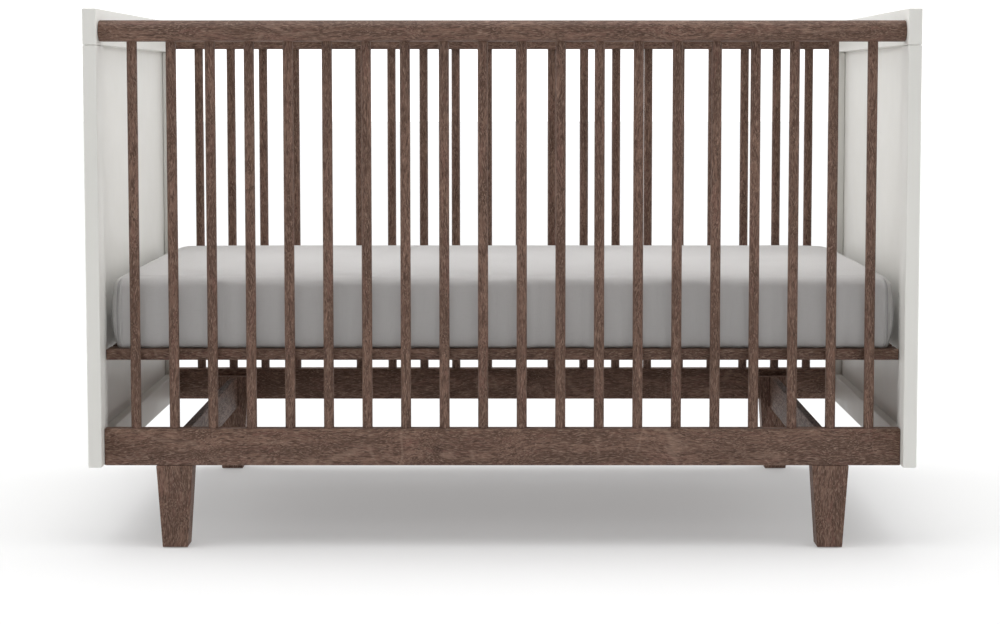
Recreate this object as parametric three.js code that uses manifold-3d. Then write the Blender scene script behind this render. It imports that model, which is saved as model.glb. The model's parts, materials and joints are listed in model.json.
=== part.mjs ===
// Baby crib: painted framed ends, fixed spindle sides on tapered legs, and a slatted mattress support
// that sets at several heights and carries a mattress in a fitted sheet.
// Millimetres, +Z up. The origin is on the floor under the middle of the crib, and the front faces -Y.
import * as THREE from "three";
import { mergeVertices } from "three/addons/utils/BufferGeometryUtils.js";
import Module from "manifold-3d";

const wasm = await Module();
wasm.setup();

// Clearance left between pieces that touch, and a cutter's run past the face that it cuts
const GAP = 0.3;
const PAST = 5;

// Whole crib
const INSIDE_LENGTH = 1330;
const CRIB_DEPTH = 808;
const CRIB_HEIGHT = 900;
const UNDERSIDE = 140;

// Ends: a U of two stiles and a bottom rail, a cap rail on top, and a thin panel let in from outside
const END_THICKNESS = 23;
const STILE_WIDTH = 60;
const END_RAIL_HEIGHT = 52;
const CAP_HEIGHT = 60;
const PANEL_THICKNESS = 5.5;
const PANEL_SET_BACK = 0.5;
const REBATE = 8;
const END_CORNER = 3;
const END_EASE = 1.2;
const GROOVE_EASE = 2;

// Sides: top rail with a half-round nose, flat bottom rail, round spindles between them
const SPINDLE_COUNT = 20;
const SPINDLE_PITCH = 64.5;
const SPINDLE_RADIUS = 8.5;
const SPINDLE_LINE = 370;
const SOCKET_DEPTH = 12;
const ROUND_SIDES = 16;
const TOP_RAIL_SIZE = 35;
const TOP_RAIL_UNDERSIDE = 846;
const TOP_RAIL_BACK = 12;
const BOTTOM_RAIL_HEIGHT = 62;
const BOTTOM_RAIL_THICKNESS = 22;
const RAIL_EASE = 1.5;

// Legs, tapered in width and lapped behind the bottom rail, and the stretcher between each pair
const LEG_CENTRE = 548.5;
const LEG_FOOT_WIDTH = 42;
const LEG_TOP_WIDTH = 68;
const LEG_DEPTH = 42;
const LEG_TOP = 188;
const LEG_EASE = 1.5;
const STRETCHER_THICKNESS = 14;
const STRETCHER_HEIGHT = 62;

// Mattress support: a rebated perimeter frame and a deck of slats on battens
const SUPPORT_LENGTH = 1328.8;
const SUPPORT_DEPTH = 716;
const SUPPORT_THICKNESS = 18;
const SUPPORT_TOP = 332.5;
const SUPPORT_MEMBER = 60;
const DECK_THICKNESS = 9;
const DECK_REBATE = 15;
const SLAT_COUNT = 13;
const SLAT_WIDTH = 58;
const BATTEN_WIDTH = 32;
const BATTEN_LINES = [-170, 0, 170];

// Mattress in its fitted sheet
const BED_LENGTH = 1322;
const BED_DEPTH = 700;
const BED_TOP = 455;
const BED_CORNER = 24;
const BED_EDGE = 20;
const SHEET_THICKNESS = 1;
const SHEET_TURN_UNDER = 70;
const MATTRESS_WALL = 8;
const VENT_RADIUS = 20;

const END_INNER = INSIDE_LENGTH / 2;
const CAP_UNDERSIDE = CRIB_HEIGHT - CAP_HEIGHT;
const BOTTOM_RAIL_TOP = UNDERSIDE + BOTTOM_RAIL_HEIGHT;

const paint = new THREE.MeshStandardMaterial({ color: 0xdad9d4, roughness: 0.42, metalness: 0 });
const walnut = new THREE.MeshStandardMaterial({ color: 0x6b544b, roughness: 0.62, metalness: 0 });
const ticking = new THREE.MeshStandardMaterial({ color: 0xe6e4df, roughness: 0.95, metalness: 0 });
const cotton = new THREE.MeshStandardMaterial({ color: 0xb9b7b6, roughness: 0.95, metalness: 0 });

// Turns that stand a flat outline up: drawn in Y and Z and run along X, or drawn in X and Z and run along -Y
const X = new THREE.Vector3(1, 0, 0);
const Y = new THREE.Vector3(0, 1, 0);
const Z = new THREE.Vector3(0, 0, 1);
const ALONG_X = new THREE.Matrix4().makeBasis(Y, Z, X);
const TOWARDS_FRONT = new THREE.Matrix4().makeBasis(X, Z, Y.clone().negate());

function toSolid(geometry) {
  const bare = geometry.clone();
  bare.deleteAttribute("normal");
  bare.deleteAttribute("uv");
  const merged = mergeVertices(bare, 1e-3);
  const vertProperties = merged.attributes.position.array;
  const triVerts = new Uint32Array(merged.index.array);
  return new wasm.Manifold(new wasm.Mesh({ numProp: 3, vertProperties, triVerts }));
}

function toGeometry(solid) {
  const { vertProperties, triVerts } = solid.getMesh();
  const indexed = new THREE.BufferGeometry();
  indexed.setAttribute("position", new THREE.BufferAttribute(vertProperties, 3));
  indexed.setIndex(new THREE.BufferAttribute(triVerts, 1));
  const geometry = indexed.toNonIndexed();
  geometry.computeVertexNormals();
  return geometry;
}

function piece(name, geometry, material) {
  const mesh = new THREE.Mesh(geometry, material);
  mesh.name = name;
  return mesh;
}

// A closed outline whose corners are [across, up, easing]
function easedOutline(corners) {
  const points = corners.map(([across, up]) => new THREE.Vector2(across, up));
  const shape = new THREE.Shape();
  corners.forEach(([, , easing = 0], i) => {
    const corner = points[i];
    const before = points.at(i - 1).clone().sub(corner).setLength(easing).add(corner);
    const after = points[(i + 1) % points.length].clone().sub(corner).setLength(easing).add(corner);
    if (i === 0) shape.moveTo(before.x, before.y);
    else shape.lineTo(before.x, before.y);
    if (easing > 0) shape.quadraticCurveTo(corner.x, corner.y, after.x, after.y);
  });
  return shape;
}

function rectangle(left, right, low, high, easing = 0) {
  const corners = [[left, low], [right, low], [right, high], [left, high]];
  return easedOutline(corners.map((corner) => [...corner, easing]));
}

function roundedRectangle(length, depth, radius) {
  const x = length / 2 - radius;
  const y = depth / 2 - radius;
  const shape = new THREE.Shape();
  shape.absarc(x, y, radius, 0, Math.PI / 2);
  shape.absarc(-x, y, radius, Math.PI / 2, Math.PI);
  shape.absarc(-x, -y, radius, Math.PI, 1.5 * Math.PI);
  shape.absarc(x, -y, radius, 1.5 * Math.PI, 2 * Math.PI);
  return shape;
}

// An outline run from 0 to depth, with the edges of its two flat faces eased inside the outline
function run(shape, depth, ease = 0, easeSteps = 2, curveSegments = 3) {
  const geometry = new THREE.ExtrudeGeometry(shape, {
    depth: depth - 2 * ease,
    bevelEnabled: ease > 0,
    bevelThickness: ease,
    bevelSize: ease,
    bevelOffset: -ease,
    bevelSegments: easeSteps,
    curveSegments,
  });
  return geometry.translate(0, 0, ease);
}

function block(x0, x1, y0, y1, z0, z1) {
  return run(rectangle(x0, x1, y0, y1), z1 - z0).translate(0, 0, z0);
}

function uprightRod(radius, low, high) {
  const rod = new THREE.CylinderGeometry(radius, radius, high - low, ROUND_SIDES);
  return rod.rotateX(Math.PI / 2).translate(0, 0, (low + high) / 2);
}

// Ends, drawn as the right-hand one, with X counted from its inner face
const PANEL_INNER = END_THICKNESS - PANEL_SET_BACK - PANEL_THICKNESS;
const PANEL_HALF = CRIB_DEPTH / 2 - STILE_WIDTH + REBATE;
const PANEL_LOW = UNDERSIDE + END_RAIL_HEIGHT - REBATE;
const PANEL_HIGH = CAP_UNDERSIDE + REBATE;

function rebateCutter() {
  const half = PANEL_HALF + GAP;
  const from = PANEL_INNER - GAP;
  return toSolid(block(from, END_THICKNESS + PAST, -half, half, PANEL_LOW - GAP, PANEL_HIGH + GAP));
}

function endFrame() {
  const outer = CRIB_DEPTH / 2;
  const inner = outer - STILE_WIDTH;
  const top = CAP_UNDERSIDE - GAP;
  const notch = UNDERSIDE + END_RAIL_HEIGHT;
  const outline = easedOutline([
    [-outer, UNDERSIDE, END_CORNER],
    [outer, UNDERSIDE, END_CORNER],
    [outer, top, GROOVE_EASE],
    [inner, top],
    [inner, notch],
    [-inner, notch],
    [-inner, top],
    [-outer, top, GROOVE_EASE],
  ]);
  const uprights = run(outline, END_THICKNESS, END_EASE).applyMatrix4(ALONG_X);
  return toGeometry(toSolid(uprights).subtract(rebateCutter()));
}

function endCap() {
  const outer = CRIB_DEPTH / 2;
  const outline = easedOutline([
    [-outer, CAP_UNDERSIDE, GROOVE_EASE],
    [outer, CAP_UNDERSIDE, GROOVE_EASE],
    [outer, CRIB_HEIGHT, END_CORNER],
    [-outer, CRIB_HEIGHT, END_CORNER],
  ]);
  const cap = run(outline, END_THICKNESS, END_EASE).applyMatrix4(ALONG_X);
  return toGeometry(toSolid(cap).subtract(rebateCutter()));
}

function endPanel() {
  const outline = rectangle(-PANEL_HALF, PANEL_HALF, PANEL_LOW, PANEL_HIGH);
  return run(outline, PANEL_THICKNESS).applyMatrix4(ALONG_X).translate(PANEL_INNER, 0, 0);
}

function buildEnd(hand, turn) {
  const end = new THREE.Group();
  end.add(piece(`${hand}_end_frame`, endFrame(), paint));
  end.add(piece(`${hand}_end_cap_rail`, endCap(), paint));
  end.add(piece(`${hand}_end_panel`, endPanel(), paint));
  end.children.forEach((mesh) => mesh.position.setX(END_INNER));
  end.rotation.z = turn;
  return end;
}

// Sides, drawn as the front one, with Y counted from the line of its spindles
function spindlePlace(i) {
  return (i - (SPINDLE_COUNT - 1) / 2) * SPINDLE_PITCH;
}

function socketCutter(low, high) {
  const sockets = [];
  for (let i = 0; i < SPINDLE_COUNT; i += 1) {
    const socket = uprightRod(SPINDLE_RADIUS + GAP, low, high).translate(spindlePlace(i), 0, 0);
    sockets.push(toSolid(socket));
  }
  return sockets.reduce((all, socket) => all.add(socket));
}

function railBlank(outline) {
  const length = INSIDE_LENGTH - 2 * GAP;
  return toSolid(run(outline, length).applyMatrix4(ALONG_X).translate(-length / 2, 0, 0));
}

function topRail() {
  const nose = TOP_RAIL_SIZE / 2;
  const noseCentre = TOP_RAIL_BACK - TOP_RAIL_SIZE + nose;
  const middle = TOP_RAIL_UNDERSIDE + nose;
  const high = TOP_RAIL_UNDERSIDE + TOP_RAIL_SIZE;
  const outline = new THREE.Shape();
  outline.absarc(noseCentre, middle, nose, Math.PI / 2, 1.5 * Math.PI);
  outline.lineTo(TOP_RAIL_BACK - RAIL_EASE, TOP_RAIL_UNDERSIDE);
  outline.lineTo(TOP_RAIL_BACK, TOP_RAIL_UNDERSIDE + RAIL_EASE);
  outline.lineTo(TOP_RAIL_BACK, high - RAIL_EASE);
  outline.lineTo(TOP_RAIL_BACK - RAIL_EASE, high);
  const sockets = socketCutter(TOP_RAIL_UNDERSIDE - PAST, TOP_RAIL_UNDERSIDE + SOCKET_DEPTH);
  return toGeometry(railBlank(outline).subtract(sockets));
}

function bottomRail() {
  const half = BOTTOM_RAIL_THICKNESS / 2;
  const outline = rectangle(-half, half, UNDERSIDE, BOTTOM_RAIL_TOP, RAIL_EASE);
  const sockets = socketCutter(BOTTOM_RAIL_TOP - SOCKET_DEPTH, BOTTOM_RAIL_TOP + PAST);
  return toGeometry(railBlank(outline).subtract(sockets));
}

// The leg stands under the bottom rail, flush with its face, and its top laps behind the rail
function leg() {
  const foot = LEG_FOOT_WIDTH / 2;
  const top = LEG_TOP_WIDTH / 2;
  const outline = easedOutline([[-foot, 0], [foot, 0], [top, LEG_TOP], [-top, LEG_TOP]]);
  const face = -BOTTOM_RAIL_THICKNESS / 2;
  const back = face + LEG_DEPTH;
  const whole = run(outline, LEG_DEPTH, LEG_EASE).applyMatrix4(TOWARDS_FRONT).translate(0, back, 0);
  const lap = BOTTOM_RAIL_THICKNESS / 2 + GAP;
  const recess = block(-LEG_TOP_WIDTH, LEG_TOP_WIDTH, face - PAST, lap, UNDERSIDE - GAP, LEG_TOP + PAST);
  return toGeometry(toSolid(whole).subtract(toSolid(recess)));
}

function buildSide(name, facing) {
  const side = new THREE.Group();
  side.add(piece(`${name}_top_rail`, topRail(), walnut));
  side.add(piece(`${name}_bottom_rail`, bottomRail(), walnut));
  for (let i = 0; i < SPINDLE_COUNT; i += 1) {
    const number = facing > 0 ? i + 1 : SPINDLE_COUNT - i;
    const low = BOTTOM_RAIL_TOP - SOCKET_DEPTH + GAP;
    const high = TOP_RAIL_UNDERSIDE + SOCKET_DEPTH - GAP;
    const label = `${name}_spindle_${String(number).padStart(2, "0")}`;
    const spindle = piece(label, uprightRod(SPINDLE_RADIUS, low, high), walnut);
    spindle.position.x = spindlePlace(i);
    side.add(spindle);
  }
  for (const hand of [-1, 1]) {
    const label = hand * facing < 0 ? "left" : "right";
    const post = piece(`${name}_${label}_leg`, leg(), walnut);
    post.position.x = hand * LEG_CENTRE;
    side.add(post);
  }
  side.children.forEach((mesh) => mesh.position.setY(-SPINDLE_LINE));
  side.rotation.z = facing > 0 ? 0 : Math.PI;
  return side;
}

function buildStretcher(name, hand) {
  const half = SPINDLE_LINE + BOTTOM_RAIL_THICKNESS / 2 - LEG_DEPTH - GAP;
  const width = STRETCHER_THICKNESS / 2;
  const outline = rectangle(-width, width, LEG_TOP - STRETCHER_HEIGHT, LEG_TOP, RAIL_EASE);
  const board = run(outline, 2 * half).applyMatrix4(TOWARDS_FRONT).translate(0, half, 0);
  const stretcher = piece(name, board, walnut);
  // The stretcher stands a little inboard of the legs' middle
  stretcher.position.x = hand * (LEG_CENTRE - 5);
  return stretcher;
}

// Mattress support, which moves up and down as one
function supportFrame() {
  const halfX = SUPPORT_LENGTH / 2;
  const halfY = SUPPORT_DEPTH / 2;
  const low = SUPPORT_TOP - SUPPORT_THICKNESS;
  const blank = run(rectangle(-halfX, halfX, -halfY, halfY, 2), SUPPORT_THICKNESS, 1);
  const openX = halfX - SUPPORT_MEMBER;
  const openY = halfY - SUPPORT_MEMBER;
  const opening = block(-openX, openX, -openY, openY, low - PAST, SUPPORT_TOP + PAST);
  const seatX = openX + DECK_REBATE + GAP;
  const seatY = openY + DECK_REBATE + GAP;
  const seat = block(-seatX, seatX, -seatY, seatY, SUPPORT_TOP - DECK_THICKNESS - GAP, SUPPORT_TOP + PAST);
  const solid = toSolid(blank.translate(0, 0, low)).subtract(toSolid(opening)).subtract(toSolid(seat));
  return toGeometry(solid);
}

function slatDeck() {
  const halfX = SUPPORT_LENGTH / 2 - SUPPORT_MEMBER;
  const halfY = SUPPORT_DEPTH / 2 - SUPPORT_MEMBER + DECK_REBATE;
  const slatLow = SUPPORT_TOP - DECK_THICKNESS;
  const reach = halfX + DECK_REBATE;
  const pitch = (2 * reach - SLAT_WIDTH) / (SLAT_COUNT - 1);
  const slats = Array.from({ length: SLAT_COUNT }, (_, i) => {
    const from = -reach + i * pitch;
    return toSolid(block(from, from + SLAT_WIDTH, -halfY, halfY, slatLow, SUPPORT_TOP));
  });
  const battens = BATTEN_LINES.map((line) => {
    const [near, far] = [line - BATTEN_WIDTH / 2, line + BATTEN_WIDTH / 2];
    return toSolid(block(-halfX + GAP, halfX - GAP, near, far, slatLow - DECK_THICKNESS, slatLow));
  });
  return toGeometry([...slats, ...battens].reduce((all, next) => all.add(next)));
}

// A soft block inset by some distance from the bed's outer shape, standing from low to high
function softBlock(inset, low, high) {
  const corner = BED_CORNER - inset;
  const outline = roundedRectangle(BED_LENGTH - 2 * inset, BED_DEPTH - 2 * inset, corner);
  return toSolid(run(outline, high - low, BED_EDGE - inset, 4, 3).translate(0, 0, low));
}

function fittedSheet() {
  const low = SUPPORT_TOP + GAP;
  const inside = softBlock(SHEET_THICKNESS, low + SHEET_THICKNESS, BED_TOP - SHEET_THICKNESS);
  const openX = BED_LENGTH / 2 - SHEET_TURN_UNDER;
  const openY = BED_DEPTH / 2 - SHEET_TURN_UNDER;
  const opening = block(-openX, openX, -openY, openY, low - PAST, low + PAST);
  return toGeometry(softBlock(0, low, BED_TOP).subtract(inside).subtract(toSolid(opening)));
}

// The mattress is a skin that weighs what a foam mattress does, with a vent hole underneath
function mattress() {
  const inset = SHEET_THICKNESS + GAP;
  const low = SUPPORT_TOP + GAP + inset;
  const high = BED_TOP - inset;
  const cavity = softBlock(inset + MATTRESS_WALL, low + MATTRESS_WALL, high - MATTRESS_WALL);
  const vent = toSolid(uprightRod(VENT_RADIUS, low - PAST, low + MATTRESS_WALL + PAST));
  return toGeometry(softBlock(inset, low, high).subtract(cavity).subtract(vent));
}

const crib = new THREE.Group();
crib.add(buildEnd("left", Math.PI));
crib.add(buildEnd("right", 0));
crib.add(buildSide("front", 1));
crib.add(buildSide("back", -1));
crib.add(buildStretcher("left_stretcher", -1));
crib.add(buildStretcher("right_stretcher", 1));
crib.add(piece("mattress_support_frame", supportFrame(), walnut));
crib.add(piece("mattress_slat_deck", slatDeck(), walnut));
crib.add(piece("mattress", mattress(), ticking));
crib.add(piece("fitted_sheet", fittedSheet(), cotton));

export default crib;
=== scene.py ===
"""Looks for the baby crib: timber, lacquer, hardware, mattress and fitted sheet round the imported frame."""

import json
import math
import random

import bmesh
import bpy
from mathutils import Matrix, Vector


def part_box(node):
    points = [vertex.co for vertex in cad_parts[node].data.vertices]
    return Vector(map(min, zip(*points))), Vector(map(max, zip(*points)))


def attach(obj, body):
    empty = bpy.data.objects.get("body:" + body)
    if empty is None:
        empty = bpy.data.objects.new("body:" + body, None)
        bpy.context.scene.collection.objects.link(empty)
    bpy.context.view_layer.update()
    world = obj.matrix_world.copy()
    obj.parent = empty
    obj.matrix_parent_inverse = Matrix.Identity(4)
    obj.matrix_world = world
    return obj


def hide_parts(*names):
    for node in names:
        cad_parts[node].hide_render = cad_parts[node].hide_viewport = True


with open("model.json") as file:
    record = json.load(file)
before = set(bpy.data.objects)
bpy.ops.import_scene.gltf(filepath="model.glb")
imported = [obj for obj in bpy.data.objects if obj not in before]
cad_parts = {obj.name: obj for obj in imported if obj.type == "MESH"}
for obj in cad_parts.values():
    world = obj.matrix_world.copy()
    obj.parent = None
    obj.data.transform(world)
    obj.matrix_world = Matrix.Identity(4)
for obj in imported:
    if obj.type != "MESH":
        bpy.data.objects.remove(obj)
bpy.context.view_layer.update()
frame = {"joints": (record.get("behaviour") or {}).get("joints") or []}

MM = 0.001
HAIRLINE = 0.15 * MM

FRAME, SUPPORT, BED = "crib_frame", "mattress_support", "mattress_body"
HANDS = {"left": -1, "right": 1}
SIDES = {"front": -1, "back": 1}


# ---------------------------------------------------------------- node helpers


class Nodes:
    """A node tree, built by short calls that take and return output sockets."""

    def __init__(self, tree):
        self.tree = tree

    def coordinates(self, kind):
        return self.tree.nodes.new("ShaderNodeTexCoord").outputs[kind]

    def put(self, target, value):
        if isinstance(value, bpy.types.NodeSocket):
            self.tree.links.new(value, target)
        else:
            target.default_value = value

    def stretched(self, scale, source):
        node = self.tree.nodes.new("ShaderNodeMapping")
        node.inputs["Scale"].default_value = scale
        self.put(node.inputs["Vector"], source)
        return node.outputs["Vector"]

    def noise(self, source, scale, detail=3.0, roughness=0.5, output="Fac"):
        node = self.tree.nodes.new("ShaderNodeTexNoise")
        node.inputs["Scale"].default_value = scale
        node.inputs["Detail"].default_value = detail
        node.inputs["Roughness"].default_value = roughness
        self.put(node.inputs["Vector"], source)
        return node.outputs[output]

    def wave(self, source, scale, axis):
        node = self.tree.nodes.new("ShaderNodeTexWave")
        node.bands_direction = axis
        node.inputs["Scale"].default_value = scale
        self.put(node.inputs["Vector"], source)
        return node.outputs["Fac"]

    def fit(self, source, low, high, to_low=0.0, to_high=1.0):
        """A smooth step from to_low to to_high as the source goes from low to high."""
        node = self.tree.nodes.new("ShaderNodeMapRange")
        node.interpolation_type = "SMOOTHSTEP"
        values = {"From Min": low, "From Max": high, "To Min": to_low, "To Max": to_high}
        for key, value in values.items():
            node.inputs[key].default_value = value
        self.put(node.inputs["Value"], source)
        return node.outputs["Result"]

    def math(self, operation, a, b=0.0):
        node = self.tree.nodes.new("ShaderNodeMath")
        node.operation = operation
        self.put(node.inputs[0], a)
        self.put(node.inputs[1], b)
        return node.outputs[0]

    def vector(self, operation, a, b):
        node = self.tree.nodes.new("ShaderNodeVectorMath")
        node.operation = operation
        self.put(node.inputs[0], a)
        self.put(node.inputs[1], b)
        return node.outputs[0]

    def scaled(self, source, factor):
        node = self.tree.nodes.new("ShaderNodeVectorMath")
        node.operation = "SCALE"
        self.put(node.inputs[0], source)
        self.put(node.inputs["Scale"], factor)
        return node.outputs[0]

    def length(self, source):
        node = self.tree.nodes.new("ShaderNodeVectorMath")
        node.operation = "LENGTH"
        self.put(node.inputs[0], source)
        return node.outputs["Value"]

    def parts(self, source):
        node = self.tree.nodes.new("ShaderNodeSeparateXYZ")
        self.put(node.inputs[0], source)
        return list(node.outputs)

    def attribute(self, name):
        """A number that the mesh stores at its points, or 0 where it stores none."""
        node = self.tree.nodes.new("ShaderNodeAttribute")
        node.attribute_name = name
        return node.outputs["Fac"]

    def mix(self, share, a, b):
        node = self.tree.nodes.new("ShaderNodeMix")
        node.data_type = "RGBA"
        self.put(node.inputs["Factor"], share)
        self.put(node.inputs["A"], a)
        self.put(node.inputs["B"], b)
        return node.outputs["Result"]

    def bump(self, height, distance, strength):
        node = self.tree.nodes.new("ShaderNodeBump")
        node.inputs["Distance"].default_value = distance
        node.inputs["Strength"].default_value = strength
        self.put(node.inputs["Height"], height)
        return node.outputs["Normal"]


def make_material(name, build):
    """A material whose shader takes the sockets and values that build returns for its node tree."""
    material = bpy.data.materials.new(name)
    material.use_nodes = True
    n = Nodes(material.node_tree)
    shader = material.node_tree.nodes["Principled BSDF"]
    for key, value in build(n, n.coordinates("Object")).items():
        n.put(shader.inputs[key], value)
    return material


def shade(red, green, blue):
    """A display colour, 0 to 255, as the linear colour that shaders take."""
    values = [c / 255 for c in (red, green, blue)]
    return [c / 12.92 if c <= 0.04045 else ((c + 0.055) / 1.055) ** 2.4 for c in values] + [1.0]


# ---------------------------------------------------------------- materials


# Each streak is (length along the grain, width, detail, offset of its noise).
ZONES = (160 * MM, 26 * MM, 2.0, 0.0)
TINTS = (90 * MM, 14 * MM, 2.0, 9.4)
BANDS = (28 * MM, 3.6 * MM, 3.0, 1.7)
DASHES = (12 * MM, 1.3 * MM, 3.0, 3.1)
FLECKS = (11 * MM, 1.0 * MM, 2.0, 5.3)
PORES = (6 * MM, 0.45 * MM, 1.0, 7.9)
# How far the grain bends across its line, and the scale of the noise that bends it.
DRIFT, DRIFT_SCALE = 50 * MM, 6.0
WANDER, WANDER_SCALE = 3.5 * MM, 34.0
CURL_SCALE = 9.0
FIGURE_SCALE = 6.0
KNOT = (-0.109, -0.381, 0.166)
KNOT_SHAPE = (0.75, 1.0, 1.0)
KNOT_REACH = 10 * MM
KNOT_RING = 3.2 * MM
DEEP_BROWN, PALE_BROWN = shade(99, 74, 61), shade(131, 101, 86)
TINT_COLOUR = shade(124, 88, 77)
BAND_COLOUR = shade(90, 66, 55)
DASH_COLOUR = shade(54, 37, 30)
FLECK_COLOUR = shade(165, 138, 121)
PORE_COLOUR = shade(46, 33, 27)
FIGURE_COLOUR = shade(158, 132, 116)
KNOT_COLOUR = shade(52, 36, 29)


def wood(grain):
    """Open-pored brown wood with pale filled flecks. grain is the axis that it runs along, 0, 1 or 2."""

    def build(n, place):
        across = [float(i != grain) for i in range(3)]

        def bend(reach, scale):
            """A push across the grain, up to about reach, that varies with a noise of this scale."""
            push = n.vector("SUBTRACT", n.noise(place, scale, 2.0, 0.5, "Color"), (0.5, 0.5, 0.5))
            return n.vector("MULTIPLY", push, [reach * a for a in across])

        curl = n.fit(n.noise(place, CURL_SCALE, 1.0), 0.52, 0.66, 0.15, 1.0)
        wander = n.scaled(bend(WANDER, WANDER_SCALE), curl)
        flow = n.vector("ADD", n.vector("ADD", place, bend(DRIFT, DRIFT_SCALE)), wander)

        def streaks(length, width, detail, offset):
            scale = [1 / (width if a else length) for a in across]
            moved = n.vector("ADD", flow, (offset, offset, offset))
            return n.noise(n.stretched(scale, moved), 1.0, detail, 0.55)

        zones = streaks(*ZONES)
        bands = n.fit(streaks(*BANDS), 0.33, 0.62)
        dashes = n.fit(streaks(*DASHES), 0.5, 0.66)
        pores = n.fit(streaks(*PORES), 0.55, 0.66)
        base = n.mix(n.fit(zones, 0.35, 0.65), DEEP_BROWN, PALE_BROWN)
        base = n.mix(n.fit(streaks(*TINTS), 0.5, 0.68, 0.0, 0.6), base, TINT_COLOUR)
        base = n.mix(bands, BAND_COLOUR, base)
        base = n.mix(n.math("MULTIPLY", dashes, 0.65), base, DASH_COLOUR)
        base = n.mix(n.fit(streaks(*FLECKS), 0.5, 0.68, 0.0, 0.7), base, FLECK_COLOUR)
        base = n.mix(n.math("MULTIPLY", pores, 0.35), base, PORE_COLOUR)
        if grain == 0:
            base = add_figure(n, base, place, zones)
            base = add_knot(n, base, n.vector("ADD", place, wander))
        rough = n.math("ADD", 0.66, n.math("MULTIPLY", bands, -0.14))
        normal = n.bump(n.math("SUBTRACT", 1.0, n.math("ADD", dashes, pores)), 0.2 * MM, 0.6)
        return {"Base Color": base, "Roughness": rough, "Normal": normal, "Specular IOR Level": 0.3}

    return build


def add_figure(n, base, place, zones):
    """Pale curved lines across the rails, along a level line of a slow noise."""
    crease = n.math("ABSOLUTE", n.math("SUBTRACT", n.noise(place, FIGURE_SCALE, 1.5), 0.5))
    share = n.math("MULTIPLY", n.fit(crease, 0.0, 0.012, 0.32, 0.0), n.fit(zones, 0.4, 0.55))
    return n.mix(share, base, FIGURE_COLOUR)


def add_knot(n, base, place):
    """A small ringed knot in the front bottom rail."""
    away = n.vector("MULTIPLY", n.vector("SUBTRACT", place, KNOT), KNOT_SHAPE)
    size = n.length(away)
    rings = n.math("SINE", n.math("MULTIPLY", size, 2 * math.pi / KNOT_RING))
    fade = n.fit(size, 0.4 * KNOT_REACH, KNOT_REACH, 0.6, 0.0)
    return n.mix(n.math("MULTIPLY", fade, n.fit(rings, -1.0, 1.0, 0.45, 1.0)), base, KNOT_COLOUR)


def lacquer(n, place):
    """Satin off-white lacquer, with the faint ripple of a sprayed coat."""
    base = n.mix(n.fit(n.noise(place, 3.0), 0.3, 0.7), shade(229, 228, 223), shade(233, 232, 227))
    ripple = n.noise(place, 420.0, 2.0)
    strokes = n.noise(n.stretched((160.0, 160.0, 8.0), place), 1.0, 2.0)
    rough = n.fit(n.noise(place, 26.0), 0.3, 0.7, 0.38, 0.48)
    normal = n.bump(n.math("ADD", ripple, strokes), 0.03 * MM, 0.3)
    return {"Base Color": base, "Roughness": rough, "Normal": normal}


# The length of one band of a wave texture at scale 1.
WAVE_PERIOD = 0.314


def weave(pale, deep, pitch):
    """Plain-woven cotton: threads both ways, slubs, a soft fuzz, and a painted shadow line down the bottom
    of each seam's groove, where the mesh marks it.
    """

    def build(n, place):
        scales = ((25, 700, 700), (700, 25, 700), (700, 700, 25))
        slubs = [n.noise(n.stretched(scale, place), 1.0, 2.0) for scale in scales]
        slub = n.math("MAXIMUM", n.math("MAXIMUM", slubs[0], slubs[1]), slubs[2])
        threads = [n.wave(place, WAVE_PERIOD / pitch, axis) for axis in "XYZ"]
        weft = n.math("MULTIPLY", n.math("ADD", threads[0], threads[1]), threads[2])
        warp = n.math("MULTIPLY", threads[0], threads[1])
        base = n.mix(n.fit(n.noise(place, 5.0), 0.3, 0.7), pale, deep)
        slub_shade, groove_shadow = ([c * part for c in deep[:3]] + [1.0] for part in (0.8, 0.25))
        base = n.mix(n.fit(slub, 0.5, 0.75, 0.0, 0.18), base, slub_shade)
        # Painted shadow: the cloth turns a dark grey along the bottom of each seam's groove.
        base = n.mix(n.math("MULTIPLY", n.attribute("seam"), 0.6), base, groove_shadow)
        cloth = n.math("ADD", n.math("ADD", weft, warp), slub)
        normal = n.bump(cloth, 0.12 * MM, 0.45)
        return {"Base Color": base, "Roughness": 0.92, "Normal": normal, "Sheen Weight": 0.2}

    return build


def zinc(n, place):
    """Dull bright zinc on small steel parts."""
    base = n.mix(n.noise(place, 60.0), shade(176, 178, 180), shade(205, 206, 206))
    rough = n.fit(n.noise(place, 240.0, 2.0), 0.3, 0.7, 0.26, 0.42)
    return {"Base Color": base, "Roughness": rough, "Metallic": 1.0}


def nylon(pale, deep):
    """Moulded plastic with a fine spark texture."""

    def build(n, place):
        base = n.mix(n.noise(place, 90.0), pale, deep)
        normal = n.bump(n.noise(place, 900.0, 2.0), 0.05 * MM, 0.4)
        return {"Base Color": base, "Roughness": 0.5, "Normal": normal}

    return build


WOOD = [make_material(f"brown_wood_{axis}", wood(i)) for i, axis in enumerate("xyz")]
PAINT = make_material("satin_lacquer", lacquer)
COTTON = make_material("sheet_weave", weave(shade(196, 194, 193), shade(191, 189, 188), 0.7 * MM))
TICKING = make_material("ticking_weave", weave(shade(228, 226, 221), shade(222, 220, 214), 1.1 * MM))
STEEL = make_material("zinc_plated_steel", zinc)
GREY_NYLON = make_material("grey_nylon", nylon(shade(120, 118, 115), shade(105, 103, 100)))
WHITE_NYLON = make_material("white_nylon", nylon(shade(216, 215, 210), shade(208, 207, 202)))


# ---------------------------------------------------------------- mesh helpers


def piece(name, shape, body, material, replaces=()):
    """A finished piece of the object, made from a bmesh, that rides on its body."""
    mesh = bpy.data.meshes.new(name)
    shape.to_mesh(mesh)
    shape.free()
    mesh.materials.append(material)
    obj = bpy.data.objects.new(name, mesh)
    bpy.context.scene.collection.objects.link(obj)
    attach(obj, body)
    if replaces:
        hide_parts(*replaces)
    return obj


def painted(name, shape, replaces=()):
    return piece(name, shape, FRAME, PAINT, replaces)


def timber(name, shape, body, grain, replaces=()):
    return piece(name, shape, body, WOOD[grain], replaces)


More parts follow.
